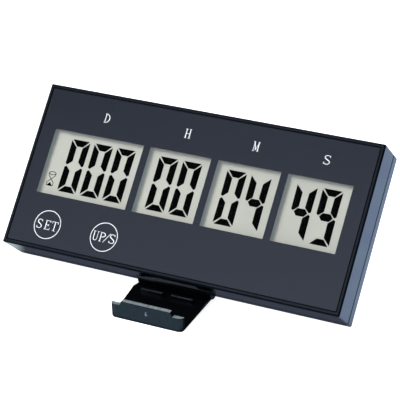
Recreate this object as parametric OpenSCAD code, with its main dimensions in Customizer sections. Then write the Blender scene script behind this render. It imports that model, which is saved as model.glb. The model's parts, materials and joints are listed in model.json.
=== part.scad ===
/* [Case] */
// Width of the case
case_w = 130; // [126:1:136]
// Height of the case
case_h = 61; // [61:0.5:64]
// Depth of the case, front to back
case_d = 16; // [16:0.1:17]
// Thickness of the side walls
wall = 1.6; // [1.4:0.1:1.8]
// Radius of the four corners seen from the front
corner_r = 0.5; // [0.3:0.1:1]
// Chamfer along the front edges
front_chamfer = 0.55; // [0.3:0.05:0.7]
// Chamfer along the back edges, which leaves room for the floor when the case leans back
back_chamfer = 0.4; // [0.35:0.05:0.6]
// Distance from the front face to the seam between the two shells
seam_y = 11.2; // [11:0.1:11.8]

/* [Front panel] */
// Width of the rim around the panel's pocket
rim = 1.25; // [1.1:0.05:1.4]
// Gap between the panel and its pocket, all round
panel_gap = 0.4; // [0.2:0.05:0.45]
// Width of the window for the three day digits
day_window_w = 36; // [34:0.1:37]
// Width of each window for two digits
window_w = 23.9; // [22:0.1:24]
// Gap between two windows
window_gap = 2.6; // [2:0.1:3]
// Height of the windows
window_h = 24.2; // [22:0.1:24.5]
// Height of the windows' lower edge above the case's bottom
window_z = 20.45; // [20.4:0.05:21]
// Height of the two touch keys' centres above the case's bottom
key_z = 9.35; // [9:0.05:9.5]
// Place of the left key's centre along the case
set_key_x = -49.4; // [-50:0.1:-49]
// Place of the right key's centre along the case
up_key_x = -26.5; // [-27:0.1:-26]

/* [Foot] */
// Width of the pull-out foot
foot_w = 28.4; // [27:0.1:29]
// Length from the hinge pin to the lip's outer face
foot_reach = 24.3; // [23.8:0.1:24.6]
// Tilt of the foot from upright when it is fully out, in degrees
foot_tilt = 46.5; // [46:0.5:48]
// Height of the foot's finger tab above its flat back
tab_h = 7.1; // [6.5:0.1:7.2]
// Radius of the foot's hinge pin
pin_r = 0.7; // [0.6:0.05:0.75]
// Radius of the barrel around the hinge pin
barrel_r = 3; // [2.9:0.05:3.05]
// Height of the pin's axis above the case's bottom when the foot is out
pin_out_z = 1.3; // [1.2:0.05:1.5]

/* [Batteries] */
// Diameter of one battery cell
cell_d = 10.2; // [10:0.1:10.2]
// Length of one battery cell, with its button
cell_l = 44.5; // [44:0.1:44.5]
// Distance between the two cells' axes
cell_pitch = 10.7; // [10.5:0.1:10.8]
// Height of the battery compartment's centre above the case's bottom
cell_z = 45.3; // [45:0.1:45.4]

/* [Hidden] */
$fn = 64;
SMALL_FN = 32;
EPS = 0.01;

// Layers from the front face backwards
film_y = 0.15;
lens_y = 0.35;
tape_y = 1.15;
front_wall_y = 1.25;
cavity_y = 2.2;
polariser_y = 2.25;
front_glass_y = 2.4;
rear_glass_y = 2.97;
reflector_y = 3.54;
foam_y = 3.72;
battery_floor_y = 4;
pcb_y = 4.4;
pcb_t = 1;
seam_gap = 0.4;
back_wall_t = 1.4;
door_t = 1;
door_y = case_d - door_t;
back_in_y = case_d - back_wall_t;
pcb_back_y = pcb_y + pcb_t;

// Front panel
pocket_x = case_w / 2 - rim;
pocket_z = rim;
panel_x = pocket_x - panel_gap;
panel_z0 = pocket_z + panel_gap;
panel_z1 = case_h - panel_z0;
panel_corner_r = 0.3;
windows_w = day_window_w + 3 * window_w + 3 * window_gap;
window_starts = [
    for (i = [0:3])
        -windows_w / 2 + (i > 0 ? day_window_w - window_w : 0) + i * (window_w + window_gap)
];
window_widths = [day_window_w, window_w, window_w, window_w];
window_top = window_z + window_h;
key_xs = [set_key_x, up_key_x];
key_hole_r = 4;

// Display
opening_x = windows_w / 2 + 2.15;
opening_z0 = window_z - 1.35;
opening_z1 = window_top + 1.45;
glass_x = opening_x + 1.4;
glass_z0 = opening_z0 - 2.4;
glass_z1 = opening_z1 + 1.8;
ledge_h = 3;
polariser_inset = 0.5;

// Case
cavity_x = case_w / 2 - wall;
screw_x = case_w / 2 - 5;
screw_zs = [4.9, case_h - 4.9];
screw_r = 0.95;
screw_fit = 0.01;
screw_tip_y = 4;
screw_head_r = 1.85;
head_seat_y = case_d - 2.6;
boss_r = 2.2;
lip_t = 0.9;
lip_depth = 1.5;
lip_fit = 0.05;

// Circuit board
pcb_x = 57;
pcb_z0 = 5.5;
pcb_z1 = 21;
pcb_screw_xs = [-55, -38.3, 20, 55];
pcb_screw_z = 13.5;
pcb_screw_r = 0.75;
pcb_boss_r = 1.6;

// Battery compartment
cell_r = cell_d / 2;
cell_y = battery_floor_y + 0.65 + 0.1 + cell_r;
cell_zs = [cell_z - cell_pitch / 2, cell_z + cell_pitch / 2];
bay_x = 25.3;
bay_z0 = cell_zs[0] - cell_r - 0.25;
bay_z1 = cell_zs[1] + cell_r + 0.25;
bay_wall = 1.2;
door_ledge = 0.8;
door_gap = 0.15;
sheet_t = 0.28;
tail_y = 12.8;

// Foot
case_lean = 90 - foot_tilt;
pin_y = case_d - barrel_r;
pin_in_z = foot_reach;
pin_half_l = 15.2;
pin_fit = 0.05;
foot_side_gap = 0.2;
bay_side_x = foot_w / 2 + foot_side_gap;
foot_bay_front_y = 8.3;
foot_bay_top_z = pin_in_z + barrel_r + 0.3;
foot_bay_wall = 1.2;
scoop_front_y = 1.7;
scoop_h = 3.6;
scoop_x = 10.6;
hood_front_y = cavity_y + 0.1;
plate_t = 1;
lip_face_t = 1.6;
lip_end_h = 5.4;
tab_x = 9.3;
tab_slope = 0.8;
foot_round_r = 1.2;
foot_corner_r = 2.5;

// Buzzer and magnets
buzzer_x = 42;
buzzer_z = 18;
buzzer_r = 10;
magnet_xs = [-44, 44];
magnet_z = 44;
magnet_r = 6;
magnet_t = 2;

// ---------- helpers: x to the right, y backwards from the front face, z up from the bottom ----------

// Moves a shape from those working axes to the row frame: the case leans back until the foot's sole
// lies flat on the floor, and the origin is the sole's centre
module placed() {
    translate([0, foot_reach / 2, barrel_r]) rotate([-case_lean, 0, 0])
        translate([0, -pin_y, -pin_out_z]) children();
}

// A box between two opposite corners
module span(lo, hi) {
    translate(lo) cube(hi - lo);
}

// A cylinder along the depth, between two depths
module rod_y(x, z, r, y0, y1) {
    translate([x, y0, z]) rotate([-90, 0, 0]) cylinder(r = r, h = y1 - y0);
}

// A cylinder along the width, between two places
module rod_x(y, z, r, x0, x1) {
    translate([x0, y, z]) rotate([0, 90, 0]) cylinder(r = r, h = x1 - x0);
}

// A rectangle with rounded corners, between two opposite corners
module rounded_rect(lo, hi, r) {
    translate([lo[0] + r, lo[1]]) square([hi[0] - lo[0] - 2 * r, hi[1] - lo[1]]);
    translate([lo[0], lo[1] + r]) square([hi[0] - lo[0], hi[1] - lo[1] - 2 * r]);
    for (x = [lo[0] + r, hi[0] - r], z = [lo[1] + r, hi[1] - r])
        translate([x, z]) circle(r = r);
}

// Draws an outline of x and z as a plate between two depths
module plate_y(y0, y1) {
    translate([0, y1, 0]) rotate([90, 0, 0]) linear_extrude(y1 - y0) children();
}

// Draws an outline of y and z as a bar between two places along the width
module bar_x(x0, x1) {
    translate([x0, 0, 0]) rotate([90, 0, 90]) linear_extrude(x1 - x0) children();
}

// Outline of a section through the case's depth, from one side to the other, as depth and place
function depth_section(side0, side1) = [
    [front_chamfer, side0], [case_d - back_chamfer, side0],
    [case_d, side0 + back_chamfer], [case_d, side1 - back_chamfer],
    [case_d - back_chamfer, side1], [front_chamfer, side1],
    [0, side1 - front_chamfer], [0, side0 + front_chamfer]
];

// The outer form of the closed case
module case_form() {
    x = case_w / 2;
    intersection() {
        plate_y(0, case_d) rounded_rect([-x, 0], [x, case_h], corner_r);
        bar_x(-x, x) polygon(depth_section(0, case_h));
        linear_extrude(case_h) polygon([for (p = depth_section(-x, x)) [p[1], p[0]]]);
    }
}

// Points of a helix that stands on z = 0
function helix(r, wire, turns, length) = [
    for (a = [0:18:360 * turns])
        [r * cos(a), r * sin(a), wire + (length - 2 * wire) * a / (360 * turns)]
];

// Points of a smooth curve from the first point to the last, drawn towards the two between them
function bend(p, steps = 12) = [
    for (i = [0:steps])
        let (t = i / steps, s = 1 - t)
        s * s * s * p[0] + 3 * s * s * t * p[1] + 3 * s * t * t * p[2] + t * t * t * p[3]
];

// A round wire along a path that never runs parallel to the side direction
module wire(path, r, side) {
    sides = 8;
    last = len(path) - 1;
    points = [
        for (i = [0:last])
            let (
                along = path[min(i + 1, last)] - path[max(i - 1, 0)],
                u = cross(along, side) / norm(cross(along, side)),
                v = cross(along, u) / norm(along)
            )
            for (k = [0:sides - 1]) path[i] + r * (cos(360 * k / sides) * u + sin(360 * k / sides) * v)
    ];
    skin = [
        for (i = [0:last - 1], k = [0:sides - 1])
            let (n = (k + 1) % sides, a = i * sides, b = a + sides)
            [a + k, b + k, b + n, a + n]
    ];
    caps = [
        [for (k = [0:sides - 1]) k],
        [for (k = [sides - 1:-1:0]) last * sides + k]
    ];
    polyhedron(points, concat(skin, caps));
}

// A coil spring that stands on z = 0
module coil(r, wire_r, turns, length) {
    wire(helix(r, wire_r, turns, length), wire_r, [0, 0, 1]);
}

// ---------- case ----------

// The foot's bay and finger scoop as one solid, grown outwards by a margin
module foot_bay_block(margin) {
    grow = foot_bay_wall + margin;
    x = bay_side_x + grow;
    span([-x, foot_bay_front_y - grow, -margin], [x, case_d - EPS, foot_bay_top_z + grow]);
    span([-scoop_x - grow, hood_front_y - margin, -margin],
         [scoop_x + grow, case_d - EPS, scoop_h + grow]);
}

module front_shell() {
    color([0.13, 0.15, 0.19]) placed() difference() {
        union() {
            difference() {
                intersection() {
                    case_form();
                    span([-case_w, -1, -1], [case_w, seam_y, case_h + 1]);
                }
                plate_y(-1, front_wall_y)
                    rounded_rect([-pocket_x, pocket_z], [pocket_x, case_h - pocket_z], panel_corner_r);
                span([-cavity_x, cavity_y, wall], [cavity_x, seam_y + 1, case_h - wall]);
            }
            for (x = [-screw_x, screw_x], z = screw_zs)
                rod_y(x, z, boss_r, cavity_y - EPS, seam_y);
            for (x = pcb_screw_xs)
                rod_y(x, pcb_screw_z, pcb_boss_r, cavity_y - EPS, pcb_y);
            // Ribs above and below the display
            span([-50, cavity_y - EPS, glass_z1 + 0.15], [50, battery_floor_y, glass_z1 + 1.15]);
            span([-50, cavity_y - EPS, glass_z0 - 1.15], [50, battery_floor_y, glass_z0 - 0.15]);
        }
        span([-opening_x, 0, opening_z0], [opening_x, cavity_y + EPS, opening_z1]);
        for (x = key_xs) rod_y(x, key_z, key_hole_r, 0, cavity_y + EPS);
        for (x = [-screw_x, screw_x], z = screw_zs)
            rod_y(x, z, screw_r + screw_fit, screw_tip_y - 0.5, seam_y + 1);
        for (x = pcb_screw_xs)
            rod_y(x, pcb_screw_z, pcb_screw_r + screw_fit, cavity_y - 0.2, pcb_y + 1);
        foot_bay_block(lip_fit);
        span([-scoop_x, scoop_front_y, -1], [scoop_x, hood_front_y, rim + panel_gap]);
    }
}

// The lip of the rear shell that plugs into the front shell
module seam_lip() {
    x = cavity_x - lip_fit;
    z0 = wall + lip_fit;
    difference() {
        span([-x, seam_y - lip_depth, z0], [x, seam_y + seam_gap + EPS, case_h - z0]);
        span([-x + lip_t, seam_y - lip_depth - 1, z0 + lip_t],
             [x - lip_t, seam_y + seam_gap + 1, case_h - z0 - lip_t]);
    }
}

module rear_shell() {
    inner_y = seam_y + seam_gap;
    color([0.16, 0.18, 0.23]) placed() difference() {
        union() {
            difference() {
                intersection() {
                    case_form();
                    span([-case_w, inner_y, -1], [case_w, case_d + 1, case_h + 1]);
                }
                span([-cavity_x, seam_y - 1, wall], [cavity_x, back_in_y, case_h - wall]);
            }
            seam_lip();
            intersection() {
                case_form();
                foot_bay_block(0);
            }
            span([-bay_x - bay_wall, battery_floor_y, bay_z0 - bay_wall],
                 [bay_x + bay_wall, back_in_y + EPS, bay_z1 + bay_wall]);
            for (x = [-screw_x, screw_x], z = screw_zs)
                rod_y(x, z, boss_r + 0.6, inner_y, back_in_y + EPS);
            for (x = magnet_xs)
                rod_y(x, magnet_z, magnet_r + 1, back_in_y - magnet_t, back_in_y + EPS);
            rod_y(buzzer_x, buzzer_z, buzzer_r + 0.4, back_in_y - 1, back_in_y + EPS);
        }
        battery_bay_cut();
        foot_bay_cut();
        for (x = [-screw_x, screw_x], z = screw_zs) {
            rod_y(x, z, screw_r + 0.15, seam_y - 1, case_d + 1);
            rod_y(x, z, screw_head_r + 0.15, head_seat_y, case_d + 1);
        }
        for (x = magnet_xs)
            rod_y(x, magnet_z, magnet_r + 0.05, back_in_y - magnet_t - 1, back_in_y);
        rod_y(buzzer_x, buzzer_z, buzzer_r - 0.8, back_in_y - 2, back_in_y);
        sound_holes();
    }
}

// The hollow for the cells, the door's recess and the slots of the contacts' tails
module battery_bay_cut() {
    span([-bay_x, battery_floor_y + 0.65, bay_z0], [bay_x, case_d + 1, bay_z1]);
    plate_y(door_y, case_d + 1) door_outline(0);
    for (z = cell_zs)
        span([bay_x - 1, tail_y - 0.1, z - 1.1], [bay_x + bay_wall + 1, tail_y + sheet_t + 0.1, z + 1.1]);
}

// The foot's travel space, the finger scoop and the grooves of the hinge pin
module foot_bay_cut() {
    x = bay_side_x;
    span([-x, foot_bay_front_y, -1], [x, case_d + 1, foot_bay_top_z]);
    span([-scoop_x, hood_front_y - 1, -1], [scoop_x, case_d + 1, scoop_h]);
    groove_r = pin_r + pin_fit;
    groove_x = pin_half_l + pin_fit;
    rod_x(pin_y, pin_out_z, groove_r, -groove_x, groove_x);
    rod_x(pin_y, pin_in_z, groove_r, -groove_x, groove_x);
    span([-groove_x, pin_y - groove_r, pin_out_z], [groove_x, pin_y + groove_r, pin_in_z]);
}

// One hole in the middle and a ring of six around it
module sound_holes() {
    hole_r = 0.6;
    rod_y(buzzer_x, buzzer_z, hole_r, back_in_y - 1, case_d + 1);
    for (a = [0:60:300])
        rod_y(buzzer_x + 3 * cos(a), buzzer_z + 3 * sin(a), hole_r, back_in_y - 1, case_d + 1);
}

// The battery door's outline with its two lower tabs, shrunk by a gap
module door_outline(gap) {
    x = bay_x + door_ledge - gap;
    rounded_rect([-x, bay_z0 - door_ledge + gap], [x, bay_z1 + door_ledge - gap], 1);
    for (side = [-1, 1])
        translate([side * 14 - 3 + gap, bay_z0 - door_ledge - 1.2 + gap])
            square([6 - 2 * gap, 2]);
}

module battery_door() {
    ridge_x = 6;
    color([0.15, 0.17, 0.22]) placed() difference() {
        plate_y(door_y + 0.02, case_d) door_outline(door_gap);
        // Slots that free the latch tongue, and its finger grooves
        for (side = [-1, 1])
            span([side * (ridge_x + 1) - 0.4, door_y - 1, bay_z1 - 5],
                 [side * (ridge_x + 1) + 0.4, case_d + 1, bay_z1 + 2]);
        for (i = [0:3])
            span([-ridge_x, case_d - 0.35, bay_z1 - 4.6 + 1.2 * i],
                 [ridge_x, case_d + 1, bay_z1 - 4 + 1.2 * i]);
    }
}

// ---------- front panel ----------

module panel_outline() {
    rounded_rect([-panel_x, panel_z0], [panel_x, panel_z1], panel_corner_r);
}

module panel_film() {
    color([0.19, 0.20, 0.25]) placed() plate_y(film_y, lens_y) difference() {
        panel_outline();
        for (i = [0:3])
            translate([window_starts[i], window_z]) square([window_widths[i], window_h]);
    }
}

module lens_panel() {
    color([0.75, 0.80, 0.84, 0.4]) placed() plate_y(lens_y, tape_y) panel_outline();
}

module lens_tape() {
    inset = 0.3;
    color([0.92, 0.92, 0.88]) placed() plate_y(tape_y, front_wall_y) difference() {
        rounded_rect([-panel_x + inset, panel_z0 + inset], [panel_x - inset, panel_z1 - inset], 0.5);
        translate([-opening_x, opening_z0]) square([2 * opening_x, opening_z1 - opening_z0]);
        for (x = key_xs) translate([x, key_z]) circle(r = key_hole_r + 0.2);
    }
}

// ---------- display ----------

module lcd_front_polariser() {
    x = glass_x - polariser_inset;
    color([0.75, 0.78, 0.72]) placed()
        span([-x, polariser_y, glass_z0 + ledge_h - 1], [x, front_glass_y, glass_z1 - polariser_inset]);
}

module lcd_front_glass() {
    color([0.80, 0.86, 0.86, 0.5]) placed()
        span([-glass_x, front_glass_y, glass_z0], [glass_x, rear_glass_y - 0.02, glass_z1]);
}

module lcd_rear_glass() {
    color([0.78, 0.84, 0.84, 0.5]) placed()
        span([-glass_x, rear_glass_y, glass_z0 + ledge_h], [glass_x, reflector_y - 0.02, glass_z1]);
}

module lcd_reflector() {
    x = glass_x - polariser_inset;
    color([0.80, 0.82, 0.78]) placed()
        span([-x, reflector_y, glass_z0 + ledge_h + 0.5], [x, foam_y - 0.02, glass_z1 - polariser_inset]);
}

module lcd_foam_pad() {
    color([0.25, 0.25, 0.27]) placed()
        span([-bay_x, foam_y, bay_z0 + 1], [bay_x, battery_floor_y - 0.02, glass_z1 - 1]);
}

module zebra_strip() {
    color([0.85, 0.45, 0.60]) placed()
        span([-53, rear_glass_y, glass_z0 + 0.4], [53, pcb_y - 0.02, glass_z0 + 2.4]);
}

// ---------- circuit ----------

module main_pcb() {
    color([0.10, 0.35, 0.20]) placed() difference() {
        span([-pcb_x, pcb_y, pcb_z0], [pcb_x, pcb_back_y, pcb_z1]);
        for (x = pcb_screw_xs) rod_y(x, pcb_screw_z, pcb_screw_r + 0.35, pcb_y - 1, pcb_back_y + 1);
    }
}

// Low dome of potting over the chip
module chip_blob() {
    color([0.06, 0.06, 0.07]) placed()
        translate([-28, pcb_back_y + EPS, 14]) rotate([-90, 0, 0]) rotate_extrude()
        polygon([[0, 0], [5, 0], [4.6, 0.6], [3.4, 1.1], [1.8, 1.3], [0, 1.35]]);
}

module crystal() {
    can_r = 1;
    color([0.75, 0.76, 0.78]) placed()
        translate([30, pcb_back_y + can_r + 0.05, 8]) cylinder(r = can_r, h = 6);
}

module smd_parts() {
    color([0.55, 0.50, 0.40]) placed()
        for (x = [-47, -43, 24, 36, 40, 48], z = [10, 17])
            span([x - 0.8, pcb_back_y + EPS, z - 0.4], [x + 0.8, pcb_back_y + 0.6, z + 0.4]);
}

// Springs that press on the back of the panel and sense a finger through it
module touch_springs() {
    color([0.80, 0.80, 0.78]) placed() for (x = key_xs)
        translate([x, pcb_y - 0.02, key_z]) rotate([90, 0, 0])
            coil(3.2, 0.25, 2, pcb_y - tape_y - 0.05);
}

module buzzer_disc() {
    color([0.80, 0.65, 0.30]) placed()
        rod_y(buzzer_x, buzzer_z, buzzer_r, back_in_y - 1.25, back_in_y - 1.02);
}

module buzzer_ceramic() {
    color([0.85, 0.85, 0.80]) placed()
        rod_y(buzzer_x, buzzer_z, 7, back_in_y - 1.45, back_in_y - 1.26);
}

module buzzer_wires() {
    r = 0.4;
    y0 = back_in_y - 1.5 - r;
    y1 = pcb_back_y + r + 0.02;
    color([0.10, 0.10, 0.12]) placed() for (x = [buzzer_x - 3, buzzer_x + 3])
        wire(bend([[x, y0, buzzer_z], [x, 9, buzzer_z], [x, 9, 13], [x, y1, 13]]), r, [1, 0, 0]);
}

// ---------- battery bay ----------

// One cell along the width, with its button on the side given as 1 or -1
module cell(z, side) {
    body_l = cell_l - 1;
    translate([0, cell_y, z]) rotate([0, side * 90, 0]) {
        translate([0, 0, -cell_l / 2]) cylinder(r = cell_r, h = body_l);
        translate([0, 0, cell_l / 2 - 1 - EPS]) cylinder(r = 1.9, h = 1);
    }
}

module battery_cells() {
    color([0.75, 0.55, 0.25]) placed() {
        cell(cell_zs[0], -1);
        cell(cell_zs[1], 1);
    }
}

// A sheet on the bay's end wall, from one height to another, on side 1 or -1
module contact_sheet(side, z0, z1) {
    x = side * (bay_x - 0.02);
    span([min(x, x - side * sheet_t), 5.2, z0], [max(x, x - side * sheet_t), 14.4, z1]);
}

// The tail that runs out through the bay's right wall
module contact_tail(z) {
    span([bay_x - 0.2, tail_y, z - 1], [bay_x + 4, tail_y + sheet_t, z + 1]);
}

// A flat pad that meets a cell's button
module contact_pad(side, z) {
    x0 = cell_l / 2 + 0.05;
    x1 = bay_x - sheet_t;
    rod_x(cell_y, z, 1.5, side > 0 ? x0 : -x1, side > 0 ? x1 : -x0);
}

// A coil that meets a cell's flat end
module contact_coil(side, z) {
    base_x = bay_x - sheet_t + 0.05;
    translate([side * base_x, cell_y, z]) rotate([0, -side * 90, 0])
        coil(3, 0.3, 3, base_x - cell_l / 2 - 0.1);
}

module contact_positive() {
    color([0.80, 0.80, 0.78]) placed() {
        contact_sheet(1, cell_z + 0.5, bay_z1 - 0.5);
        contact_pad(1, cell_zs[1]);
        contact_tail(cell_zs[1]);
    }
}

module contact_negative() {
    color([0.80, 0.80, 0.78]) placed() {
        contact_sheet(1, bay_z0 + 0.5, cell_z - 0.5);
        contact_coil(1, cell_zs[0]);
        contact_tail(cell_zs[0]);
    }
}

module contact_bridge() {
    color([0.80, 0.80, 0.78]) placed() {
        contact_sheet(-1, bay_z0 + 0.5, bay_z1 - 0.5);
        contact_pad(-1, cell_zs[0]);
        contact_coil(-1, cell_zs[1]);
    }
}

// A wire from a contact's tail down to the circuit board
module battery_wire(z, x) {
    r = 0.45;
    start = [x, tail_y - r - 0.02, z];
    finish = [x, pcb_back_y + r + 0.02, 19];
    wire(bend([start, [x, 5, z], [x, 10, 19], finish]), r, [1, 0, 0]);
}

module battery_wire_positive() {
    color([0.75, 0.10, 0.08]) placed() battery_wire(cell_zs[1], bay_x + 2.2);
}

module battery_wire_negative() {
    color([0.08, 0.08, 0.09]) placed() battery_wire(cell_zs[0], bay_x + 3.4);
}

module magnets() {
    color([0.70, 0.70, 0.72]) placed() for (x = magnet_xs)
        rod_y(x, magnet_z, magnet_r, back_in_y - magnet_t + 0.05, back_in_y - 0.02);
}

// ---------- foot: its own axes have the pin at the origin, -z to the lip, -y up from the flat back ----------

// Moves the foot from its local axes to its place when it is fully out
module foot_out() {
    placed() translate([0, pin_y, pin_out_z]) rotate([-foot_tilt, 0, 0]) children();
}

// A point of the side profile: distance along the foot from the pin, height above the flat back
function side_point(along, height) = [barrel_r - height, -along];

module foot_plate() {
    x = foot_w / 2;
    bar_x(-x, x) polygon([
        side_point(0, 0), side_point(foot_reach, 0), side_point(foot_reach, 1.6),
        side_point(foot_reach - lip_face_t, plate_t), side_point(13.5, plate_t),
        side_point(6.3, 2.15), side_point(2, 1.2), side_point(0, 0.6)
    ]);
}

// The upright lip, seen along the foot: low at its ends, with the finger tab in the middle
module lip_outline() {
    x = foot_w / 2;
    tab_foot_x = tab_x + tab_slope;
    rounded_rect([-x, 0], [x, lip_end_h], foot_round_r);
    square_h = lip_end_h - foot_round_r;
    translate([-x, foot_round_r]) square([2 * x, square_h]);
    polygon([[-tab_foot_x, lip_end_h - 1], [tab_foot_x, lip_end_h - 1], [tab_foot_x, lip_end_h],
             [tab_x, tab_h], [-tab_x, tab_h], [-tab_foot_x, lip_end_h]]);
}

module foot() {
    x = foot_w / 2;
    rib_along = 8.5;
    color([0.07, 0.08, 0.09]) foot_out() difference() {
        intersection() {
            union() {
                intersection() {
                    union() {
                        foot_plate();
                        for (side = [-1, 1])
                            span([side * 5.9 - 4.2, barrel_r - 3.2, -rib_along - 0.45],
                                 [side * 5.9 + 4.2, barrel_r - 1, -rib_along + 0.45]);
                    }
                    // Long edges of the flat back are rounded
                    translate([0, barrel_r, -foot_reach]) rotate([0, 0, 180])
                        linear_extrude(foot_reach)
                        rounded_rect([-x, 0], [x, tab_h], foot_round_r);
                }
                translate([0, barrel_r, -foot_reach]) rotate([0, 0, 180])
                    linear_extrude(lip_face_t) lip_outline();
                rod_x(0, 0, barrel_r, -x, x);
            }
            // Corners at the lip, seen from above the plate
            plate_y(barrel_r - tab_h, barrel_r)
                rounded_rect([-x, -foot_reach], [x, barrel_r + foot_corner_r], foot_corner_r);
        }
        rod_x(0, 0, pin_r + pin_fit, -x - 1, x + 1);
        // Arrow pressed into the lip's outer face
        translate([0, barrel_r - 4.1, -foot_reach - 1]) linear_extrude(1.2)
            polygon([
                [-0.25, -0.9], [0.25, -0.9], [0.25, 0.1], [0.75, 0.1],
                [0, 0.9], [-0.75, 0.1], [-0.25, 0.1]
            ]);
    }
}

module foot_pin() {
    color([0.72, 0.73, 0.75]) foot_out() rod_x(0, 0, pin_r, -pin_half_l, pin_half_l);
}

// ---------- fasteners ----------

module case_screws() {
    head_h = 1.4;
    color([0.35, 0.35, 0.38]) placed() for (x = [-screw_x, screw_x], z = screw_zs) difference() {
        union() {
            rod_y(x, z, screw_r, screw_tip_y, head_seat_y + 0.5);
            rod_y(x, z, screw_head_r, head_seat_y + 0.02, head_seat_y + head_h);
        }
        for (turn = [0, 90])
            translate([x, head_seat_y + head_h, z]) rotate([0, turn, 0])
                cube([2.2, 1.4, 0.4], center = true);
    }
}

module pcb_screws() {
    head_h = 0.8;
    color([0.80, 0.80, 0.78]) placed() for (x = pcb_screw_xs) difference() {
        union() {
            rod_y(x, pcb_screw_z, pcb_screw_r, cavity_y, pcb_back_y + 0.4);
            rod_y(x, pcb_screw_z, 1.4, pcb_back_y + 0.02, pcb_back_y + head_h);
        }
        for (turn = [0, 90])
            translate([x, pcb_back_y + head_h, pcb_screw_z]) rotate([0, turn, 0])
                cube([1.6, 0.8, 0.3], center = true);
    }
}

front_shell();
rear_shell();
panel_film();
lens_panel();
lens_tape();
lcd_front_polariser();
lcd_front_glass();
lcd_rear_glass();
lcd_reflector();
lcd_foam_pad();
zebra_strip();
main_pcb();
chip_blob();
crystal();
smd_parts();
touch_springs();
buzzer_disc();
buzzer_ceramic();
buzzer_wires();
battery_cells();
contact_positive();
contact_negative();
contact_bridge();
battery_wire_positive();
battery_wire_negative();
battery_door();
magnets();
foot();
foot_pin();
case_screws();
pcb_screws();
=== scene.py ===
"""A slim days/hours/minutes/seconds timer that leans back on its pull-out foot.

The case has its own axes: x to the right, y backwards from the front face, and z up along the case from
its bottom. Sizes are in millimetres on those axes, and case_point() turns them into the row frame, which
is in metres.
"""

import json
import math

import bpy
from mathutils import Matrix, Vector


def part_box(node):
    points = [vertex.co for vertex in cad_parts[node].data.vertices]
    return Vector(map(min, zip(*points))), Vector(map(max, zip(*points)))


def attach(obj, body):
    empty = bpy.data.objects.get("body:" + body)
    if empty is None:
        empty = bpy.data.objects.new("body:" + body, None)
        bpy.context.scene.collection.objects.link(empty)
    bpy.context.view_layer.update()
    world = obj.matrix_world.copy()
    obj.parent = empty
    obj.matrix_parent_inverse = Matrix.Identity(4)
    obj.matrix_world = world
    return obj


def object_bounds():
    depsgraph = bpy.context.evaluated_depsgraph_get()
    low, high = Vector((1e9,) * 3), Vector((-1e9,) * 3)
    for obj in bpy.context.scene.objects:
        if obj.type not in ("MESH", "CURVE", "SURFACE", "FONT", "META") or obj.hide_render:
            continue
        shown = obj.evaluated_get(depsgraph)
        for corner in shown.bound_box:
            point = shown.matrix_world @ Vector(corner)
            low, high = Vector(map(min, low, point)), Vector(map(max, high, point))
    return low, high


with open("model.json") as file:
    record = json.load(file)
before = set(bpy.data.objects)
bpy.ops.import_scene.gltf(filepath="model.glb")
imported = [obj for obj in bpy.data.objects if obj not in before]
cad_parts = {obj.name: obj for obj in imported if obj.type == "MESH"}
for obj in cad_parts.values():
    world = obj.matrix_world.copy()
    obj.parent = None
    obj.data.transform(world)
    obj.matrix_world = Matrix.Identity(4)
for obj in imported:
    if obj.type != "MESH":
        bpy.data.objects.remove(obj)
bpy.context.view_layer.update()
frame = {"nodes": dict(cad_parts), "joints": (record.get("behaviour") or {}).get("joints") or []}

MM = 0.001

# ---------------------------------------------------------------- the case's own axes, from the frame

joints = {j["name"]: j for j in frame["joints"]}
RIGHT = Vector((1, 0, 0))
BACK = Vector(joints["door_lift"]["axis"])
UP = Vector(joints["foot_slide"]["axis"])


def reach(node, axis):
    """How far a CAD node reaches along an axis, as lowest and highest."""
    places = [v.co.dot(axis) for v in frame["nodes"][node].data.vertices]
    return min(places), max(places)


FRONT_PLACE = reach("front_shell", BACK)[0]
BOTTOM_PLACE = reach("front_shell", UP)[0]


def along_case(x, y, z):
    """A direction or a step on the case's axes, in the row frame."""
    return RIGHT * x + BACK * y + UP * z


def case_point(x, y, z):
    """A point of the case, given in millimetres, in the row frame."""
    return along_case(x * MM, FRONT_PLACE + y * MM, BOTTOM_PLACE + z * MM)


foot_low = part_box("foot")[0]


def lip_point(x, y, z):
    """A point on the lip of the foot: to the right, inwards from its outer face, and up from its sole."""
    return Vector((x * MM, foot_low.y + y * MM, foot_low.z + z * MM))


# ---------------------------------------------------------------- sizes of the printing and the display

FILM_Y = 0.15            # front of the printed film
INK = 0.03               # thickness of the ink
LCD_Y = 2.25             # front of the display's polariser
SEGMENT = 0.03           # how far a lit segment stands in front of it
SEGMENT_SUNK = 0.01      # and how far it reaches into it

DAY_WINDOW_W = 36.0
WINDOW_W = 23.9
WINDOW_GAP = 2.6
WINDOW_Z = 20.45
WINDOW_H = 24.2

DIGIT_W = 7.5
DIGIT_H = 19.85
DIGIT_Z = 22.65
DIGIT_PITCH = 9.3
DAY_DIGIT_X = -51.0
DAY_DIGIT_PITCH = 9.2
SEGMENT_W = 2.55
HOURGLASS = (-56.1, 23.95)
LCD_PAINTED_GLOW = 0.16       # painted glow on the display, standing in for light that the panel around the windows scatters onto it
SHADE_BAND_GLOW = 0.85    # painted glow of the grey bands of painted shade beside the windows
SHADE_BAND_OUT = 1.25        # how far the bands of painted shade reach under the film
SHADE_BAND_IN = 0.12         # and how far they show inside a window

LABEL_Z = 50.2
LABEL_H = 3.4
KEY_R = 5.3
KEY_LINE = 0.26
SET_KEY = (-49.4, 9.4)
UP_KEY = (-26.5, 9.35)
KEY_LETTER_Z = 7.55
KEY_LETTER_H = 3.45

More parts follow.
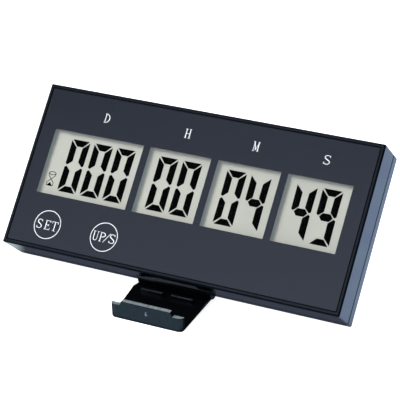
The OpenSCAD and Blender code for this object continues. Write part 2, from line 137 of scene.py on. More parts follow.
LIP_T = 1.6              # thickness of the foot's lip
RIB_H = 3.2              # height of the ribs on the foot
HIGHLIGHT_SOFT = 0.05         # how softly the painted highlights on the foot's lip and ribs fade
ARROW_Z = 4.1            # height of the arrow on the lip
ARROW_DEPTH = 0.2        # how deep it is pressed in
SEAM_Y = 11.4            # middle of the seam between the two halves of the case
SEAM_SHADE = 0.55        # how far its dull edges reach to each side
RIM_GLOSS = 0.72         # gloss of the rim round the panel, as a share of the sides'
CHAMFER_GLOSS = 0.06     # of the rim's chamfer
SEAM_GLOSS = 0.1         # and of the seam's edges

# ---------------------------------------------------------------- node helpers


def new_material(name):
    material = bpy.data.materials.new(name)
    material.use_nodes = True
    material.node_tree.nodes.clear()
    return material, material.node_tree.nodes, material.node_tree.links


def noise(nodes, links, coords, scale, detail, roughness=0.5):
    """Cloudy noise with its scale per metre."""
    node = nodes.new("ShaderNodeTexNoise")
    node.inputs["Scale"].default_value = scale
    node.inputs["Detail"].default_value = detail
    node.inputs["Roughness"].default_value = roughness
    links.new(coords, node.inputs["Vector"])
    return node.outputs["Fac"]


def ramp(nodes, links, value, start, end, low=0.0, high=1.0):
    """Goes from low to high as the value goes from start to end, and stays there outside them."""
    node = nodes.new("ShaderNodeMapRange")
    node.inputs["From Min"].default_value = start
    node.inputs["From Max"].default_value = end
    node.inputs["To Min"].default_value = low
    node.inputs["To Max"].default_value = high
    links.new(value, node.inputs["Value"])
    return node.outputs["Result"]


def spread(nodes, links, value, low, high):
    """Maps a noise value, which stays near 0.5, onto a range."""
    return ramp(nodes, links, value, 0.3, 0.7, low, high)


def scaled_colour(nodes, links, colour, factor):
    node = nodes.new("ShaderNodeVectorMath")
    node.operation = "SCALE"
    node.inputs[0].default_value = colour
    links.new(factor, node.inputs["Scale"])
    return node.outputs["Vector"]


def product(nodes, links, first, second):
    """Multiplies two values; the second may be a number."""
    node = nodes.new("ShaderNodeMath")
    node.operation = "MULTIPLY"
    links.new(first, node.inputs[0])
    if isinstance(second, float):
        node.inputs[1].default_value = second
    else:
        links.new(second, node.inputs[1])
    return node.outputs["Value"]


def along(nodes, links, vector, direction):
    """How far a vector reaches along a direction."""
    node = nodes.new("ShaderNodeVectorMath")
    node.operation = "DOT_PRODUCT"
    links.new(vector, node.inputs[0])
    node.inputs[1].default_value = direction
    return node.outputs["Value"]


def window_mask(nodes, links, value, low, high, softness):
    """1 where a value lies between two limits, falling off softly outside them."""
    rising = ramp(nodes, links, value, low - softness, low)
    falling = ramp(nodes, links, value, high, high + softness, 1.0, 0.0)
    return product(nodes, links, rising, falling)


def blend(nodes, links, factor, first, second):
    """Mixes two colours; either may be a colour or a socket."""
    node = nodes.new("ShaderNodeMix")
    node.data_type = "RGBA"
    links.new(factor, node.inputs["Factor"])
    for socket, colour in ((node.inputs[6], first), (node.inputs[7], second)):
        if isinstance(colour, tuple):
            socket.default_value = (*colour, 1)
        else:
            links.new(colour, socket)
    return node.outputs[2]


# ---------------------------------------------------------------- kinds of surface

BLOTCH_SCALE = 90        # uneven tone, per metre
SMEAR_SCALE = 260        # uneven gloss, per metre
HANDLING_SCALE = 900     # wear from fingers, per metre
COAT_ROUGHNESS = 0.06
PLASTIC_IOR = 1.49
SQUARE_ON = 1.1          # past any cosine, so that a mask on facing has no upper end


def surface(name, colour, roughness, grain=0.0, grain_mm=0.2, vary=0.12, metallic=0.0, coat=0.0,
            soften_mm=0.0, specular=0.5, brushed=None, hollow_shade_mm=0.0):
    """A moulded, printed or metal surface with blotches, uneven gloss, fine grain and softened edges.

    Painted shade: hollows narrower than the given distance are darkened in the base colour by ambient
    occlusion.
    """
    material, nodes, links = new_material(name)
    out = nodes.new("ShaderNodeOutputMaterial")
    bsdf = nodes.new("ShaderNodeBsdfPrincipled")
    links.new(bsdf.outputs["BSDF"], out.inputs["Surface"])
    coords = nodes.new("ShaderNodeTexCoord").outputs["Object"]
    if brushed:
        stretch = nodes.new("ShaderNodeMapping")
        stretch.inputs["Scale"].default_value = brushed
        links.new(coords, stretch.inputs["Vector"])
        coords = stretch.outputs["Vector"]

    blotches = noise(nodes, links, coords, BLOTCH_SCALE, detail=4)
    tone = spread(nodes, links, blotches, 1 - vary, 1 + vary)
    if hollow_shade_mm:
        # painted shade: ambient occlusion darkens the base colour in hollows
        hollow_shade_ao = nodes.new("ShaderNodeAmbientOcclusion")
        hollow_shade_ao.samples = 8
        hollow_shade_ao.inputs["Distance"].default_value = hollow_shade_mm * MM
        squared = product(nodes, links, hollow_shade_ao.outputs["AO"], hollow_shade_ao.outputs["AO"])
        tone = product(nodes, links, tone, squared)
    links.new(scaled_colour(nodes, links, colour, tone), bsdf.inputs["Base Color"])
    smears = noise(nodes, links, coords, SMEAR_SCALE, detail=5, roughness=0.6)
    uneven_gloss = spread(nodes, links, smears, roughness * 0.85, roughness * 1.15)
    links.new(uneven_gloss, bsdf.inputs["Roughness"])
    bsdf.inputs["Metallic"].default_value = metallic
    bsdf.inputs["Coat Weight"].default_value = coat
    bsdf.inputs["Coat Roughness"].default_value = COAT_ROUGHNESS
    bsdf.inputs["Specular IOR Level"].default_value = specular

    bump = nodes.new("ShaderNodeBump")
    bump.inputs["Distance"].default_value = grain * MM
    bump.inputs["Strength"].default_value = 1.0 if grain else 0.0
    links.new(noise(nodes, links, coords, 1000 / grain_mm, detail=2), bump.inputs["Height"])
    if soften_mm:
        bevel = nodes.new("ShaderNodeBevel")
        bevel.samples = 6
        bevel.inputs["Radius"].default_value = soften_mm * MM
        links.new(bevel.outputs["Normal"], bump.inputs["Normal"])
    links.new(bump.outputs["Normal"], bsdf.inputs["Normal"])
    return material


def clear_sheet(name, tint, gloss, mirroring):
    """Clear plastic: lets light straight through and mirrors a little, more so at a low angle."""
    material, nodes, links = new_material(name)
    out = nodes.new("ShaderNodeOutputMaterial")
    mix = nodes.new("ShaderNodeMixShader")
    clear = nodes.new("ShaderNodeBsdfTransparent")
    mirror = nodes.new("ShaderNodeBsdfGlossy")
    fresnel = nodes.new("ShaderNodeFresnel")
    fresnel.inputs["IOR"].default_value = PLASTIC_IOR
    clear.inputs["Color"].default_value = (*tint, 1)
    coords = nodes.new("ShaderNodeTexCoord").outputs["Object"]
    smears = noise(nodes, links, coords, 150, detail=4)
    links.new(spread(nodes, links, smears, gloss, gloss * 2), mirror.inputs["Roughness"])
    links.new(product(nodes, links, fresnel.outputs["Fac"], mirroring), mix.inputs["Fac"])
    links.new(clear.outputs["BSDF"], mix.inputs[1])
    links.new(mirror.outputs["BSDF"], mix.inputs[2])
    links.new(mix.outputs["Shader"], out.inputs["Surface"])
    return material


def display_face(name, colour, painted_glow):
    """A pale face of the display: a fine speckle and a faint cloudy tone, with a faint painted glow."""
    material, nodes, links = new_material(name)
    out = nodes.new("ShaderNodeOutputMaterial")
    bsdf = nodes.new("ShaderNodeBsdfPrincipled")
    links.new(bsdf.outputs["BSDF"], out.inputs["Surface"])
    coords = nodes.new("ShaderNodeTexCoord").outputs["Object"]
    clouds = noise(nodes, links, coords, 60, detail=2)
    sparkle = noise(nodes, links, coords, 5000, detail=1)
    cloudy = spread(nodes, links, clouds, 0.96, 1.04)
    speckled = spread(nodes, links, sparkle, 0.95, 1.05)
    tone = product(nodes, links, cloudy, speckled)
    links.new(scaled_colour(nodes, links, colour, tone), bsdf.inputs["Base Color"])
    bsdf.inputs["Roughness"].default_value = 0.45
    bsdf.inputs["Specular IOR Level"].default_value = 0.10
    # painted glow: the face emits its own colour, though it is no lamp
    bsdf.inputs["Emission Color"].default_value = (*colour, 1)
    bsdf.inputs["Emission Strength"].default_value = painted_glow
    return material


def foot_surface(name, colour, lip_highlight_colour, rib_highlight_colour):
    """Black plastic of uneven sheen, with a painted highlight along the lip's top edge and a faint one on
    the ribs.
    """
    material = surface(name, colour, 0.22, grain=0.003, grain_mm=0.25, soften_mm=0.10, specular=0.30)
    nodes, links = material.node_tree.nodes, material.node_tree.links
    bsdf = nodes["Principled BSDF"]
    plain = bsdf.inputs["Base Color"].links[0].from_socket
    coords = nodes.new("ShaderNodeTexCoord")
    place = nodes.new("ShaderNodeSeparateXYZ")
    facing = nodes.new("ShaderNodeSeparateXYZ")
    links.new(coords.outputs["Object"], place.inputs["Vector"])
    links.new(coords.outputs["Normal"], facing.inputs["Vector"])
    # painted highlight: upward-facing tops of the lip and the ribs are made paler, mottled by noise
    upwards = window_mask(nodes, links, facing.outputs["Z"], 0.9, SQUARE_ON, 0.2)
    highlight_mottle = spread(nodes, links, noise(nodes, links, coords.outputs["Object"], 700, detail=4), 0.45, 1.05)
    handling = noise(nodes, links, coords.outputs["Object"], HANDLING_SCALE, detail=5, roughness=0.7)
    links.new(spread(nodes, links, handling, 0.24, 0.46), bsdf.inputs["Specular IOR Level"])
    soft = HIGHLIGHT_SOFT * MM
    rib_z = foot_low.z + RIB_H * MM
    rib_top = window_mask(nodes, links, place.outputs["Z"], rib_z - soft, rib_z + 2 * soft, soft)
    lip_inside = foot_low.y + LIP_T * MM
    lip_top = window_mask(nodes, links, place.outputs["Y"], foot_low.y - MM, lip_inside + soft, soft)
    ribs = product(nodes, links, product(nodes, links, rib_top, upwards), highlight_mottle)
    edges = product(nodes, links, product(nodes, links, lip_top, upwards), highlight_mottle)
    ribbed = blend(nodes, links, ribs, plain, rib_highlight_colour)
    links.new(blend(nodes, links, edges, ribbed, lip_highlight_colour), bsdf.inputs["Base Color"])
    return material


def duller(nodes, links, gloss, where, dull):
    """A gloss that falls to a duller one where a mask says so."""
    node = nodes.new("ShaderNodeMix")
    node.data_type = "FLOAT"
    links.new(where, node.inputs["Factor"])
    links.new(gloss, node.inputs["A"])
    node.inputs["B"].default_value = dull
    return node.outputs["Result"]


def case_surface(name, colour, roughness, specular, soften_mm, hollow_shade_mm=0.0):
    """Plastic of the case: duller on the rim round the panel, its chamfer and the edges of the seam."""
    material = surface(name, colour, roughness, grain=0.003, grain_mm=0.28, soften_mm=soften_mm,
                       specular=specular, hollow_shade_mm=hollow_shade_mm)
    nodes, links = material.node_tree.nodes, material.node_tree.links
    normal = nodes.new("ShaderNodeNewGeometry").outputs["True Normal"]
    place = nodes.new("ShaderNodeTexCoord").outputs["Object"]
    forwards = along(nodes, links, normal, -BACK)
    rim = window_mask(nodes, links, forwards, 0.9, SQUARE_ON, 0.05)
    chamfer = window_mask(nodes, links, forwards, 0.6, 0.8, 0.05)
    seam = FRONT_PLACE + SEAM_Y * MM
    shade = SEAM_SHADE * MM
    depth = along(nodes, links, place, BACK)
    by_seam = window_mask(nodes, links, depth, seam - shade, seam + shade, 0.1 * MM)
    level = nodes.new("ShaderNodeValue").outputs[0]
    level.default_value = specular
    for where, share in ((rim, RIM_GLOSS), (chamfer, CHAMFER_GLOSS), (by_seam, SEAM_GLOSS)):
        level = duller(nodes, links, level, where, specular * share)
    links.new(level, nodes["Principled BSDF"].inputs["Specular IOR Level"])
    return material


# ---------------------------------------------------------------- materials of the CAD nodes

case_plastic = case_surface("case_plastic", (0.004, 0.006, 0.010), 0.20, 0.35, 0.04)
# the rear plastic gets painted shade from ambient occlusion in hollows up to 14 mm across
rear_plastic = case_surface("rear_plastic", (0.024, 0.029, 0.041), 0.28, 0.60, 0.06, hollow_shade_mm=14)
film_ink = surface(
    "film_ink", (0.008, 0.010, 0.016), 0.12, grain=0.0004, grain_mm=0.8, vary=0.05)
# the foot's pale lip and rib colours are painted highlights
foot_plastic = foot_surface(
    "foot_plastic", (0.0015, 0.002, 0.0025), lip_highlight_colour=(0.28, 0.33, 0.34),
    rib_highlight_colour=(0.034, 0.034, 0.044))
steel = surface(
    "steel", (0.60, 0.61, 0.63), 0.28, grain=0.002, grain_mm=0.1, metallic=1.0, brushed=(20, 1, 1))
screw_steel = surface(
    "screw_steel", (0.16, 0.16, 0.17), 0.35, grain=0.003, grain_mm=0.1, metallic=1.0, soften_mm=0.08)
plated_steel = surface(
    "plated_steel", (0.62, 0.61, 0.58), 0.25, grain=0.002, grain_mm=0.1, metallic=1.0)
brass = surface("brass", (0.72, 0.52, 0.20), 0.30, grain=0.002, grain_mm=0.1, metallic=1.0)
ceramic = surface("ceramic", (0.72, 0.72, 0.66), 0.55, grain=0.004, grain_mm=0.1)
chip_ceramic = surface("chip_ceramic", (0.28, 0.22, 0.15), 0.50, grain=0.004, grain_mm=0.1)
solder_mask = surface("solder_mask", (0.010, 0.090, 0.035), 0.30, grain=0.006, grain_mm=0.4, coat=0.3)
potting = surface("potting", (0.008, 0.008, 0.009), 0.18, grain=0.004, grain_mm=0.5)
foam = surface("foam", (0.035, 0.035, 0.038), 0.85, grain=0.05, grain_mm=0.3)
elastomer = surface("elastomer", (0.62, 0.20, 0.30), 0.60, grain=0.01, grain_mm=0.1)
tape = surface("tape", (0.75, 0.75, 0.68), 0.60, grain=0.01, grain_mm=0.3)
red_wire = surface("red_wire", (0.45, 0.012, 0.010), 0.40, grain=0.004, grain_mm=0.2)
black_wire = surface("black_wire", (0.012, 0.012, 0.014), 0.40, grain=0.004, grain_mm=0.2)
cell_jacket = surface("cell_jacket", (0.50, 0.33, 0.08), 0.30, grain=0.003, grain_mm=0.4, coat=0.5)
nickel = surface("nickel", (0.66, 0.65, 0.62), 0.22, grain=0.002, grain_mm=0.1, metallic=1.0)
lcd_back = surface("lcd_back", (0.50, 0.52, 0.47), 0.40, grain=0.004, grain_mm=0.1)
white_ink = surface("white_ink", (0.90, 0.91, 0.90), 0.40, grain=0.004, grain_mm=0.15, vary=0.04)
pale_ink = surface("pale_ink", (0.16, 0.19, 0.21), 0.40, grain=0.004, grain_mm=0.15, vary=0.10)
segment_black = surface("segment_black", (0.001, 0.001, 0.001), 0.45, grain=0.001, vary=0.2, specular=0.02)
lens_clear = clear_sheet("lens_clear", (0.985, 0.99, 0.985), 0.02, 0.01)
lcd_clear = clear_sheet("lcd_clear", (0.90, 0.94, 0.91), 0.03, 1.0)
lcd_face = display_face("lcd_face", (0.435, 0.430, 0.378), LCD_PAINTED_GLOW)
# grey with a painted glow, for the bands of painted shade beside the windows
lcd_shade_band = display_face("lcd_shade_band", (0.165, 0.195, 0.205), SHADE_BAND_GLOW)

NODE_MATERIALS = {
    "front_shell": case_plastic, "rear_shell": rear_plastic, "battery_door": rear_plastic,
    "panel_film": film_ink, "lens_panel": lens_clear, "lens_tape": tape,
    "lcd_front_polariser": lcd_face, "lcd_front_glass": lcd_clear, "lcd_rear_glass": lcd_clear,
    "lcd_reflector": lcd_back, "lcd_foam_pad": foam, "zebra_strip": elastomer,
    "main_pcb": solder_mask, "chip_blob": potting, "crystal": nickel, "smd_parts": chip_ceramic,
    "touch_springs": plated_steel, "buzzer_disc": brass, "buzzer_ceramic": ceramic,
    "buzzer_wires": black_wire, "battery_cells": cell_jacket, "contact_positive": plated_steel,
    "contact_negative": plated_steel, "contact_bridge": plated_steel,
    "battery_wire_positive": red_wire, "battery_wire_negative": black_wire, "magnets": nickel,
    "foot": foot_plastic, "foot_pin": steel, "case_screws": screw_steel, "pcb_screws": plated_steel,
}
for node_name, cad_object in frame["nodes"].items():
    cad_object.data.materials.clear()
    cad_object.data.materials.append(NODE_MATERIALS[node_name])

# ---------------------------------------------------------------- flat printed shapes


def mesh_object(name, points, faces):
    mesh = bpy.data.meshes.new(name)
    mesh.from_pydata([tuple(p) for p in points], [], faces)
    made = bpy.data.objects.new(name, mesh)
    bpy.context.scene.collection.objects.link(made)
    return made


class Print:
    """Collects flat closed shapes, given as outlines of x and z, into one thin piece."""

    def __init__(self, name, front, thickness, body="case", place=case_point):
        self.name = name
        self.body = body
        self.place = place
        self.front = front
        self.back = front + thickness
        self.points = []
        self.faces = []

    def shape(self, outline):
        """A convex or simple outline as a thin plate with closed sides."""
        n = len(outline)
        area = sum(
            outline[i][0] * outline[(i + 1) % n][1] - outline[(i + 1) % n][0] * outline[i][1]
            for i in range(n)
        )
        if area < 0:
            outline = outline[::-1]
        base = len(self.points)
        for y in (self.front, self.back):
            self.points += [self.place(x, y, z) for x, z in outline]
        self.faces.append([base + i for i in range(n)])
        self.faces.append([base + n + i for i in reversed(range(n))])
        for i in range(n):
            j = (i + 1) % n
            self.faces.append([base + j, base + i, base + n + i, base + n + j])

    def stroke(self, path, widths):
        """A line of varying width along a path, as one plate."""
        if not isinstance(widths, (list, tuple)):
            widths = [widths] * len(path)
        left, right = [], []
        for i, (x, z) in enumerate(path):
            ax, az = path[max(i - 1, 0)]
            bx, bz = path[min(i + 1, len(path) - 1)]
            length = math.hypot(bx - ax, bz - az)
            nx, nz = -(bz - az) / length, (bx - ax) / length
            half = widths[i] / 2
            left.append((x + nx * half, z + nz * half))
            right.append((x - nx * half, z - nz * half))
        for i in range(len(path) - 1):
            self.shape([left[i], right[i], right[i + 1], left[i + 1]])

    def ring(self, x, z, radius, width, steps=96):
        """A closed circular line with an outer radius."""
        base = len(self.points)
        for y in (self.front, self.back):
            for r in (radius, radius - width):
                for i in range(steps):
                    a = 2 * math.pi * i / steps
                    self.points.append(self.place(x + r * math.cos(a), y, z + r * math.sin(a)))
        fo, fi, bo, bi = (base + steps * k for k in range(4))
        for i in range(steps):
            j = (i + 1) % steps
            self.faces.append([fo + i, fo + j, fi + j, fi + i])
            self.faces.append([bo + j, bo + i, bi + i, bi + j])
            self.faces.append([fo + j, fo + i, bo + i, bo + j])
            self.faces.append([fi + i, fi + j, bi + j, bi + i])

    def build(self, material, slot):
        piece = mesh_object(self.name, self.points, self.faces)
        piece.data.materials.append(material)
        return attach(piece, self.body)


def arc(cx, cz, rx, rz, start, end, steps):
    """Points of an elliptical arc, in degrees."""
    points = []
    for i in range(steps + 1):
        a = math.radians(start + (end - start) * i / steps)
        points.append((cx + rx * math.cos(a), cz + rz * math.sin(a)))
    return points


# ---------------------------------------------------------------- letters with serifs, on a unit height

STEM = 0.092             # width of a thick stroke
HAIR = 0.050             # width of a thin stroke
SERIF = 0.045            # thickness of a serif
SERIF_REACH = 0.12       # how far it reaches to each side


def stem(x, width=STEM):
    """An upright with a serif bar at each end."""
    low, high = SERIF / 2, 1 - SERIF / 2
    bars = [([(x - SERIF_REACH, z), (x + SERIF_REACH, z)], SERIF) for z in (low, high)]
    return [([(x, low), (x, high)], width)] + bars


def bowl(x, z0, z1, depth, steps=14):
    """A round stroke from an upright and back to it, thick at its far side."""
    middle = (z0 + z1) / 2
    path = arc(x, middle, depth, (z1 - z0) / 2 - HAIR / 2, 90, -90, steps)
    widths = [HAIR + (STEM - HAIR) * math.sin(math.pi * i / steps) for i in range(steps + 1)]
    return [(path, widths)]


def curve_s():
    """The spine of an S: thin at its ends and thick in the middle."""
    upper = arc(0.30, 0.755, 0.20, 0.205, 25, 215, 12)
    lower = arc(0.30, 0.255, 0.22, 0.215, 40, -155, 12)
    path = upper + lower
    last = len(path) - 1
    widths = [HAIR + (STEM - HAIR) * math.sin(math.pi * i / last) ** 1.5 for i in range(last + 1)]
    ends = [([(0.50, 0.97), (0.50, 0.76)], HAIR), ([(0.08, 0.03), (0.08, 0.26)], HAIR)]
    return [(path, widths)] + ends


LETTERS = {
    "D": stem(0.12) + bowl(0.13, 0, 1, 0.46),
    "H": stem(0.13) + stem(0.55) + [([(0.13, 0.5), (0.55, 0.5)], HAIR)],
    "M": (stem(0.10, width=HAIR) + stem(0.60) +
          [([(0.10, 0.97), (0.35, 0.12)], STEM), ([(0.35, 0.12), (0.60, 0.97)], HAIR)]),
    "S": curve_s(),
    "E": (stem(0.13) + [([(0.13, 0.97), (0.52, 0.97)], HAIR), ([(0.13, 0.03), (0.54, 0.03)], HAIR),
          ([(0.13, 0.5), (0.40, 0.5)], HAIR), ([(0.51, 1.0), (0.51, 0.78)], HAIR),
          ([(0.53, 0.0), (0.53, 0.24)], HAIR), ([(0.40, 0.60), (0.40, 0.40)], HAIR)]),
    "T": (stem(0.31) + [([(0.04, 0.97), (0.58, 0.97)], HAIR), ([(0.05, 1.0), (0.05, 0.78)], HAIR),
          ([(0.57, 1.0), (0.57, 0.78)], HAIR)]),
    "U": [([(0.13, 0.97), (0.13, 0.30)], STEM), ([(0.53, 0.97), (0.53, 0.30)], HAIR),
          ([(0.01, 0.97), (0.25, 0.97)], SERIF), ([(0.43, 0.97), (0.63, 0.97)], SERIF),
          (arc(0.33, 0.30, 0.20, 0.265, 180, 360, 12), [STEM - (STEM - HAIR) * i / 12 for i in range(13)])],
    "P": stem(0.13) + bowl(0.13, 0.46, 1, 0.40),
    "/": [([(0.05, -0.02), (0.55, 1.02)], HAIR * 1.2)],
}


def outer_reach(name):
    """Leftmost and rightmost ink of a letter on its unit height."""
    places = []
    for path, widths in LETTERS[name]:
        upright = len(path) == 2 and path[0][0] == path[1][0]
        for i, (x, _) in enumerate(path):
            width = widths[i] if isinstance(widths, (list, tuple)) else widths
            half = width / 2 if upright or len(path) > 2 else 0
            places += [x - half, x + half]
    return min(places), max(places)


def letter(target, name, left, right, z, height):
    """Draws a letter on a base line at z, stretched sideways to reach from left to right."""
    first, last = outer_reach(name)
    width = (right - left) / (last - first)
    for path, widths in LETTERS[name]:
        placed = [(left + (px - first) * width, z + pz * height) for px, pz in path]
        if isinstance(widths, (list, tuple)):
            target.stroke(placed, [w * height for w in widths])
        else:
            target.stroke(placed, widths * height)


# ---------------------------------------------------------------- printing on the film

window_widths = (DAY_WINDOW_W, WINDOW_W, WINDOW_W, WINDOW_W)
window_edges = []
window_left = -(sum(window_widths) + 3 * WINDOW_GAP) / 2
for window_width in window_widths:
    window_edges.append((window_left, window_left + window_width))
    window_left += window_width + WINDOW_GAP

LABELS = {"D": (-39.95, -37.8), "H": (-7.75, -5.5), "M": (18.45, 20.85), "S": (44.95, 47.3)}
labels = Print("window_letters", FILM_Y - INK, INK)
for name, (left, right) in LABELS.items():
    letter(labels, name, left, right, LABEL_Z, LABEL_H)
labels.build(white_ink, "panel_print")

KEY_LETTERS = (
    ("S", -53.5, -51.45), ("E", -50.45, -48.2), ("T", -47.7, -45.2),
    ("U", -30.85, -28.65), ("P", -28.2, -25.85), ("/", -26.4, -24.2), ("S", -24.25, -22.05),
)
keys = Print("touch_key_marks", FILM_Y - INK, INK)
for x, z in (SET_KEY, UP_KEY):
    keys.ring(x, z, KEY_R, KEY_LINE)
for name, left, right in KEY_LETTERS:
    letter(keys, name, left, right, KEY_LETTER_Z, KEY_LETTER_H)
keys.build(white_ink, "panel_print")

arrow = Print("lip_arrow", INK, ARROW_DEPTH - INK, body="foot", place=lip_point)
arrow_neck, arrow_tip, arrow_tail = ARROW_Z - 0.1, ARROW_Z - 0.87, ARROW_Z + 0.88
arrow.shape([(-0.23, arrow_neck), (0.23, arrow_neck), (0.23, arrow_tail), (-0.23, arrow_tail)])
arrow.shape([(-0.72, arrow_neck), (0, arrow_tip), (0.72, arrow_neck)])
arrow.build(pale_ink, "foot_plastic")

# ---------------------------------------------------------------- digits of the display


def digit_segments(x, z):
    """The seven segments of a digit as outlines, keyed a to g, from its lower left corner."""
    w, h, t = DIGIT_W, DIGIT_H, SEGMENT_W
    mid = z + h / 2
    end = 0.38               # how far the top and bottom segments start in from the sides
    bar = 2.4                # height of the top segment
    half_bar = 1.35          # half the height of the middle segment
    foot = 2.25              # height of the bottom segment
    top = [(x + end, z + h), (x + w - end, z + h), (x + w * 0.66, z + h - bar), (x + w * 0.34, z + h - bar)]
    upper_left = [(x, z + h - 0.45), (x + t, z + h - 2.85), (x + t + 0.05, mid + 1.85),
                  (x + 0.8, mid + 0.22), (x + 0.1, mid + 0.7)]
    middle = [(x + 1.25, mid), (x + 2.3, mid + half_bar), (x + w - 2.35, mid + half_bar),
              (x + w - 1.25, mid), (x + w - 2.35, mid - half_bar), (x + 2.3, mid - half_bar)]
    bottom = [(x + 0.42, z), (x + w - end, z), (x + w - 2.4, z + foot), (x + 2.6, z + foot)]

    def flip_x(points):
        return [(2 * x + w - px, pz) for px, pz in points]

    def flip_z(points):
        return [(px, 2 * mid - pz) for px, pz in points]

    return {
        "a": top, "b": flip_x(upper_left), "c": flip_x(flip_z(upper_left)), "d": bottom,
        "e": flip_z(upper_left), "f": upper_left, "g": middle,
    }


LIT = {"0": "abcdef", "4": "bcfg", "9": "abcdfg"}


def digits(name, text, x, pitch=DIGIT_PITCH):
    """A group of digits side by side, with the first one's left edge at x."""
    group = Print(name, LCD_Y - SEGMENT, SEGMENT + SEGMENT_SUNK)
    for i, character in enumerate(text):
        segments = digit_segments(x + i * pitch, DIGIT_Z)
        for key in LIT[character]:
            group.shape(segments[key])
    return group


def hourglass(target, x, z):
    """The running mark: an hourglass with its sand run down, from its lower left corner."""
    w, h, line = 2.9, 5.35, 0.26
    centre = x + w / 2
    waist = z + h * 0.46
    shoulder = z + h * 0.87
    target.stroke(arc(centre, shoulder, w / 2 - line / 2, h * 0.13 - line / 2, 0, 360, 24), line)
    for side in (-1, 1):
        bulge = side * w * 0.46
        target.stroke([
            (centre + side * w / 2, shoulder), (centre + bulge, shoulder - h * 0.15), (centre, waist),
            (centre - bulge, z + h * 0.22), (centre - side * w * 0.42, z),
        ], line)
    target.stroke([(x + w * 0.08, z), (x + w * 0.92, z)], line)
    target.shape([(centre - w * 0.38, z), (centre + w * 0.38, z), (centre, z + h * 0.25)])


def pair_start(index):
    """Left edge of a centred pair of digits in a window."""
    left, right = window_edges[index]
    return (left + right - DIGIT_PITCH - DIGIT_W) / 2


# painted shade: grey bands on the display at each window's sides, standing in for the shaded edge under the
# film
shade_bands = Print("lcd_shade_bands", LCD_Y - SEGMENT, SEGMENT + SEGMENT_SUNK)
for left, right in window_edges:
    bottom, top = WINDOW_Z, WINDOW_Z + WINDOW_H
    for window_side, out in ((left, -1), (right, 1)):
        near, far = sorted((window_side - out * SHADE_BAND_IN, window_side + out * SHADE_BAND_OUT))
        shade_bands.shape([(near, bottom), (far, bottom), (far, top), (near, top)])
shade_bands.build(lcd_shade_band, "lcd_face")

day_digits = digits("lcd_days", "000", DAY_DIGIT_X, DAY_DIGIT_PITCH)
hourglass(day_digits, *HOURGLASS)
day_digits.build(segment_black, "lcd_face")
PAIRS = (("lcd_hours", "00"), ("lcd_minutes", "04"), ("lcd_seconds", "49"))
for index, (name, text) in enumerate(PAIRS, start=1):
    digits(name, text, pair_start(index)).build(segment_black, "lcd_face")

# ---------------------------------------------------------------- stage: floor, lights and camera

PAPER = (0.82, 0.82, 0.82)
FLOOR_GLOW = 0.88                      # what the camera sees on top of the paper's own light
FLOOR_UNDER = (0.105, 0.12, 0.17)      # painted shade that reflections see under the case
FLOOR_AHEAD = (0.62, 0.98, 1.30)       # painted light that reflections see in front of the foot
FLOOR_RIGHT = (0.92, 1.24, 1.56)       # painted light that reflections see to the right of the case
FLOOR_RIGHT_BLUE = (0.70, 0.92, 1.50)  # and in bluer patches there
FLOOR_LEFT = (1.00, 1.25, 1.28)        # and to its left
BESIDE_X = 0.068                       # the floor beside the case starts here, just past its side
FLOOR_SIZE = 4.0
FAR = 9.0                              # past the end of the floor

WALL = (-0.20, -0.90, -0.35)           # direction of the pale wall, on the case's axes
WALL_COSINE = 0.87                     # how far round that direction it reaches
WALL_SOFT = 0.14                       # and how softly it ends
WORLD_DARK = (0.03, 0.033, 0.04)
WORLD_WALL = (0.92, 1.03, 1.28)
WORLD_SEEN = (0.86, 0.88, 0.90)        # what the camera sees past the floor

# Direction from the aim to the camera, and the camera's upward direction, on the case's axes
TO_CAMERA = (0.3948, -0.8985, -0.1917)
CAMERA_UP = (-0.1842, -0.2818, 0.9417)
DISTANCE = 0.61427
LENS = 159.41
AIM = case_point(5.01, 0, 29.33)
FACE_CENTRE = case_point(0, 0, 30.5)


def plane(name, centre, size):
    x, y, z = centre
    corners = [(x + i * size, y + j * size, z) for i, j in ((-1, -1), (1, -1), (1, 1), (-1, 1))]
    sheet = mesh_object(name, corners, [(0, 1, 2, 3)])
    return sheet


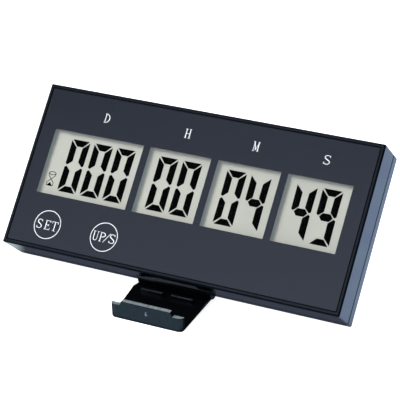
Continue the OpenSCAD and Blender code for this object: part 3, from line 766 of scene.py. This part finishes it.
def floor_material():
    """White paper that glows softly for the camera; reflections see painted tones of their own, by place:
    painted shade under the case, painted light ahead of the foot and beside the case.
    """
    material, nodes, links = new_material("floor_paper")
    out = nodes.new("ShaderNodeOutputMaterial")
    paper = nodes.new("ShaderNodeBsdfDiffuse")
    glow = nodes.new("ShaderNodeEmission")
    painted_reflection = nodes.new("ShaderNodeEmission")
    lit = nodes.new("ShaderNodeAddShader")
    choose_glow = nodes.new("ShaderNodeMixShader")
    choose_painted_reflection = nodes.new("ShaderNodeMixShader")
    ray = nodes.new("ShaderNodeLightPath")
    dark = nodes.new("ShaderNodeEmission")
    dark.inputs["Strength"].default_value = 0.0
    coords = nodes.new("ShaderNodeTexCoord").outputs["Object"]
    mottle = spread(nodes, links, noise(nodes, links, coords, 12, detail=3), 0.99, 1.01)
    links.new(scaled_colour(nodes, links, PAPER, mottle), paper.inputs["Color"])
    glow.inputs["Strength"].default_value = FLOOR_GLOW

    # painted reflection: tones that only glossy rays see, set by place on the floor
    place = nodes.new("ShaderNodeSeparateXYZ")
    links.new(coords, place.inputs["Vector"])
    aside = nodes.new("ShaderNodeMath")
    aside.operation = "ABSOLUTE"
    links.new(place.outputs["X"], aside.inputs[0])
    beside = window_mask(nodes, links, aside.outputs["Value"], BESIDE_X, FAR, 0.005)
    rightwards = window_mask(nodes, links, place.outputs["X"], 0.01, FAR, 0.02)
    patches = spread(nodes, links, noise(nodes, links, coords, 45, detail=3), 0.0, 1.0)
    right = blend(nodes, links, patches, FLOOR_RIGHT, FLOOR_RIGHT_BLUE)
    side = blend(nodes, links, rightwards, FLOOR_LEFT, right)
    near_lip = 1.5 * MM
    ahead = window_mask(nodes, links, place.outputs["Y"], -FAR, foot_low.y - near_lip, near_lip)
    shade = blend(nodes, links, ahead, FLOOR_UNDER, FLOOR_AHEAD)
    links.new(blend(nodes, links, beside, shade, side), painted_reflection.inputs["Color"])

    links.new(ray.outputs["Is Camera Ray"], choose_glow.inputs["Fac"])
    links.new(dark.outputs["Emission"], choose_glow.inputs[1])
    links.new(glow.outputs["Emission"], choose_glow.inputs[2])
    links.new(choose_glow.outputs["Shader"], lit.inputs[0])
    links.new(paper.outputs["BSDF"], lit.inputs[1])
    links.new(ray.outputs["Is Glossy Ray"], choose_painted_reflection.inputs["Fac"])
    links.new(lit.outputs["Shader"], choose_painted_reflection.inputs[1])
    links.new(painted_reflection.outputs["Emission"], choose_painted_reflection.inputs[2])
    links.new(choose_painted_reflection.outputs["Shader"], out.inputs["Surface"])
    return material


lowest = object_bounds()[0].z
floor = plane("floor", (0, 0, lowest - 0.02 * MM), FLOOR_SIZE)
floor.data.materials.append(floor_material())


def softbox(name, place, aim, size, power):
    """A rectangular lamp that reflections don't show."""
    data = bpy.data.lights.new(name, "AREA")
    data.shape = "RECTANGLE"
    data.size, data.size_y = size
    data.energy = power
    lamp = bpy.data.objects.new(name, data)
    bpy.context.scene.collection.objects.link(lamp)
    lamp.location = place
    lamp.rotation_mode = "QUATERNION"
    lamp.rotation_quaternion = (Vector(aim) - Vector(place)).to_track_quat("-Z", "Y")
    lamp.visible_glossy = False


KEY_PLACE = FACE_CENTRE + along_case(-0.45, -1.0, 0.35).normalized()
softbox("key_light", KEY_PLACE, FACE_CENTRE, size=(0.6, 0.6), power=9.5)
softbox("top_light", (0.3, 0.5, 1.5), (0, 0, 0), size=(1.2, 0.8), power=6.0)
softbox("back_light", (-0.3, 1.2, 0.5), (0, 0, 0), size=(1.0, 0.8), power=14.0)


def studio_world():
    """A dark studio with one broad pale wall, the one that the front face mirrors into the camera."""
    world = bpy.data.worlds.new("studio")
    bpy.context.scene.world = world
    world.use_nodes = True
    nodes, links = world.node_tree.nodes, world.node_tree.links
    background = nodes["Background"]
    direction = nodes.new("ShaderNodeTexCoord").outputs["Generated"]
    towards = along(nodes, links, direction, along_case(*WALL).normalized())
    wall = window_mask(nodes, links, towards, WALL_COSINE, SQUARE_ON, WALL_SOFT)
    shade = blend(nodes, links, wall, WORLD_DARK, WORLD_WALL)
    ray = nodes.new("ShaderNodeLightPath").outputs["Is Camera Ray"]
    links.new(blend(nodes, links, ray, shade, WORLD_SEEN), background.inputs["Color"])
    background.inputs["Strength"].default_value = 1.0


studio_world()


def studio_camera():
    data = bpy.data.cameras.new("camera")
    data.sensor_width = 36.0
    data.lens = LENS
    camera = bpy.data.objects.new("camera", data)
    bpy.context.scene.collection.objects.link(camera)
    back = along_case(*TO_CAMERA).normalized()
    right = along_case(*CAMERA_UP).cross(back).normalized()
    turn = Matrix((right, back.cross(right), back)).transposed()
    camera.matrix_world = Matrix.Translation(AIM + back * DISTANCE) @ turn.to_4x4()
    bpy.context.scene.camera = camera


studio_camera()
bpy.context.scene.view_settings.view_transform = "Standard"
